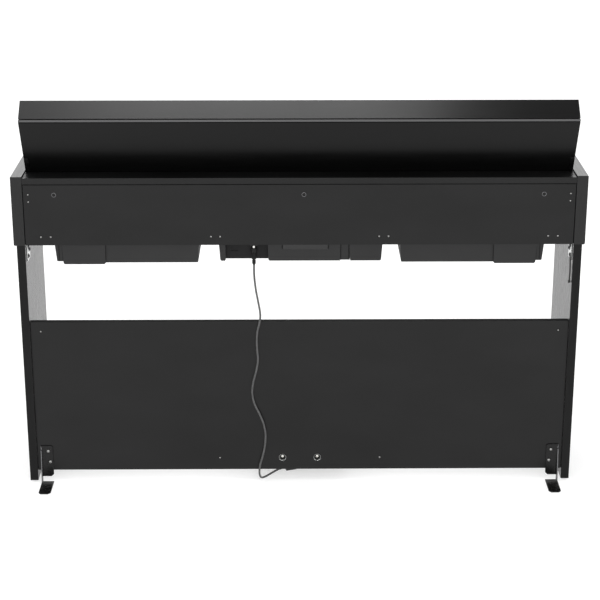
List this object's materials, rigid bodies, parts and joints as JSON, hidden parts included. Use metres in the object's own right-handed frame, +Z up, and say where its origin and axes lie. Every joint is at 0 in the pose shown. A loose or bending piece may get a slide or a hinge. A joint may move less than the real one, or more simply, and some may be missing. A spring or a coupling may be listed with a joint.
{
  "type": "digital piano on stand",
  "caption": "Slim upright digital piano on a panel stand, with a folding key lid, full keyboard, pedals, kick board, rear feet and a pedal lead.",
  "frame": {"origin": "on the floor, under the middle of the piano", "axes": "+X towards the player's right, +Y towards the back, +Z up"},
  "size_m": [1.353, 0.374, 0.9686],
  "materials": {
    "grain_black": "satin embossed grain",
    "board_black": "satin black foil on board",
    "case_black": "fine moulded texture",
    "steel_black": "black enamel",
    "zinc": "bright zinc",
    "brass": "polished",
    "key_white": "satin gloss",
    "key_black": "matt",
    "rubber": "matt",
    "circuit_green": "solder mask",
    "speaker_cone": "pressed paper",
    "cord_black": "smooth flexible sheath"
  },
  "bodies": {
    "stand": {"cheek_block_left": "grain_black", "cheek_block_right": "grain_black", "control_panel": "case_black", "cord_gland": "case_black", "headphone_box": "case_black", "headphone_hanger": "steel_black", "key_bed": "board_black", "key_frame": "case_black", "key_slip": "grain_black", "kick_board": "board_black", "leg_bracket_left": "zinc", "leg_bracket_right": "zinc", "leg_glide_left": "rubber", "leg_glide_right": "rubber", "leg_left": "grain_black", "leg_right": "grain_black", "main_circuit_board": "circuit_green", "pedal_box": "board_black", "pedal_cord": "cord_black", "pedal_plug": "case_black", "pedal_socket": "steel_black", "rear_panel": "board_black", "side_arm_left": "grain_black", "side_arm_right": "grain_black", "socket_case": "case_black", "speaker_case_left": "case_black", "speaker_case_right": "case_black", "speaker_left": "speaker_cone", "speaker_right": "speaker_cone", "stabiliser_left": "steel_black", "stabiliser_right": "steel_black", "top_board": "board_black"},
    "lid": {"lid_fold_strip": "grain_black", "lid_front": "grain_black", "lid_panel": "grain_black", "lid_pivot_left": "steel_black", "lid_pivot_right": "steel_black", "music_ledge": "grain_black"},
    "white_keys_1": {"white_keys_1": "key_white"},
    "black_keys_1": {"black_keys_1": "key_black"},
    "white_keys_2": {"white_keys_2": "key_white"},
    "black_keys_2": {"black_keys_2": "key_black"},
    "white_keys_3": {"white_keys_3": "key_white"},
    "black_keys_3": {"black_keys_3": "key_black"},
    "white_keys_4": {"white_keys_4": "key_white"},
    "black_keys_4": {"black_keys_4": "key_black"},
    "white_keys_5": {"white_keys_5": "key_white"},
    "black_keys_5": {"black_keys_5": "key_black"},
    "white_keys_6": {"white_keys_6": "key_white"},
    "black_keys_6": {"black_keys_6": "key_black"},
    "white_keys_7": {"white_keys_7": "key_white"},
    "black_keys_7": {"black_keys_7": "key_black"},
    "soft_pedal": {"soft_pedal": "brass"},
    "sostenuto_pedal": {"sostenuto_pedal": "brass"},
    "damper_pedal": {"damper_pedal": "brass"},
    "power_button": {"power_button": "case_black"},
    "function_button_1": {"function_button_1": "case_black"},
    "function_button_2": {"function_button_2": "case_black"},
    "volume_slider": {"volume_slider": "case_black"},
    "pedal_adjuster": {"pedal_adjuster": "rubber"}
  },
  "joints": [
    {"name": "lid_hinge", "type": "hinge", "parent": "stand", "child": "lid", "pos_m": [0, 0.039, 0.772], "axis": [1, 0, 0], "range_deg": [0, 114.5]},
    {"name": "white_keys_1_press", "type": "hinge", "parent": "stand", "child": "white_keys_1", "pos_m": [0, 0.072, 0.718], "axis": [1, 0, 0], "range_deg": [0, 2.4], "stiffness_Nm_per_rad": 60, "springref_deg": -2.01},
    {"name": "black_keys_1_press", "type": "hinge", "parent": "stand", "child": "black_keys_1", "pos_m": [0, 0.072, 0.718], "axis": [1, 0, 0], "range_deg": [0, 2.8], "stiffness_Nm_per_rad": 30, "springref_deg": -1.72},
    {"name": "white_keys_2_press", "type": "hinge", "parent": "stand", "child": "white_keys_2", "pos_m": [0, 0.072, 0.718], "axis": [1, 0, 0], "range_deg": [0, 2.4], "stiffness_Nm_per_rad": 60, "springref_deg": -2.01},
    {"name": "black_keys_2_press", "type": "hinge", "parent": "stand", "child": "black_keys_2", "pos_m": [0, 0.072, 0.718], "axis": [1, 0, 0], "range_deg": [0, 2.8], "stiffness_Nm_per_rad": 30, "springref_deg": -1.72},
    {"name": "white_keys_3_press", "type": "hinge", "parent": "stand", "child": "white_keys_3", "pos_m": [0, 0.072, 0.718], "axis": [1, 0, 0], "range_deg": [0, 2.4], "stiffness_Nm_per_rad": 60, "springref_deg": -2.01},
    {"name": "black_keys_3_press", "type": "hinge", "parent": "stand", "child": "black_keys_3", "pos_m": [0, 0.072, 0.718], "axis": [1, 0, 0], "range_deg": [0, 2.8], "stiffness_Nm_per_rad": 30, "springref_deg": -1.72},
    {"name": "white_keys_4_press", "type": "hinge", "parent": "stand", "child": "white_keys_4", "pos_m": [0, 0.072, 0.718], "axis": [1, 0, 0], "range_deg": [0, 2.4], "stiffness_Nm_per_rad": 60, "springref_deg": -2.01},
    {"name": "black_keys_4_press", "type": "hinge", "parent": "stand", "child": "black_keys_4", "pos_m": [0, 0.072, 0.718], "axis": [1, 0, 0], "range_deg": [0, 2.8], "stiffness_Nm_per_rad": 30, "springref_deg": -1.72},
    {"name": "white_keys_5_press", "type": "hinge", "parent": "stand", "child": "white_keys_5", "pos_m": [0, 0.072, 0.718], "axis": [1, 0, 0], "range_deg": [0, 2.4], "stiffness_Nm_per_rad": 60, "springref_deg": -2.01},
    {"name": "black_keys_5_press", "type": "hinge", "parent": "stand", "child": "black_keys_5", "pos_m": [0, 0.072, 0.718], "axis": [1, 0, 0], "range_deg": [0, 2.8], "stiffness_Nm_per_rad": 30, "springref_deg": -1.72},
    {"name": "white_keys_6_press", "type": "hinge", "parent": "stand", "child": "white_keys_6", "pos_m": [0, 0.072, 0.718], "axis": [1, 0, 0], "range_deg": [0, 2.4], "stiffness_Nm_per_rad": 60, "springref_deg": -2.01},
    {"name": "black_keys_6_press", "type": "hinge", "parent": "stand", "child": "black_keys_6", "pos_m": [0, 0.072, 0.718], "axis": [1, 0, 0], "range_deg": [0, 2.8], "stiffness_Nm_per_rad": 30, "springref_deg": -1.72},
    {"name": "white_keys_7_press", "type": "hinge", "parent": "stand", "child": "white_keys_7", "pos_m": [0, 0.072, 0.718], "axis": [1, 0, 0], "range_deg": [0, 2.4], "stiffness_Nm_per_rad": 60, "springref_deg": -2.01},
    {"name": "black_keys_7_press", "type": "hinge", "parent": "stand", "child": "black_keys_7", "pos_m": [0, 0.072, 0.718], "axis": [1, 0, 0], "range_deg": [0, 2.8], "stiffness_Nm_per_rad": 30, "springref_deg": -1.72},
    {"name": "soft_pedal_press", "type": "hinge", "parent": "stand", "child": "soft_pedal", "pos_m": [0, 0.078, 0.05], "axis": [1, 0, 0], "range_deg": [0, 6], "stiffness_Nm_per_rad": 25, "springref_deg": -3.44},
    {"name": "sostenuto_pedal_press", "type": "hinge", "parent": "stand", "child": "sostenuto_pedal", "pos_m": [0, 0.078, 0.05], "axis": [1, 0, 0], "range_deg": [0, 6], "stiffness_Nm_per_rad": 25, "springref_deg": -3.44},
    {"name": "damper_pedal_press", "type": "hinge", "parent": "stand", "child": "damper_pedal", "pos_m": [0, 0.078, 0.05], "axis": [1, 0, 0], "range_deg": [0, 6], "stiffness_Nm_per_rad": 25, "springref_deg": -3.44},
    {"name": "power_button_press", "type": "slide", "parent": "stand", "child": "power_button", "axis": [0, 0, -1], "range_m": [0, 0.002], "stiffness_N_per_m": 300, "springref_m": -0.001},
    {"name": "function_button_1_press", "type": "slide", "parent": "stand", "child": "function_button_1", "axis": [0, 0, -1], "range_m": [0, 0.002], "stiffness_N_per_m": 300, "springref_m": -0.001},
    {"name": "function_button_2_press", "type": "slide", "parent": "stand", "child": "function_button_2", "axis": [0, 0, -1], "range_m": [0, 0.002], "stiffness_N_per_m": 300, "springref_m": -0.001},
    {"name": "volume_slide", "type": "slide", "parent": "stand", "child": "volume_slider", "axis": [1, 0, 0], "range_m": [-0.022, 0.022]},
    {"name": "adjuster_turn", "type": "hinge", "parent": "stand", "child": "pedal_adjuster", "pos_m": [0, 0.028, 0.012], "axis": [0, 0, 1], "continuous": true}
  ]
}
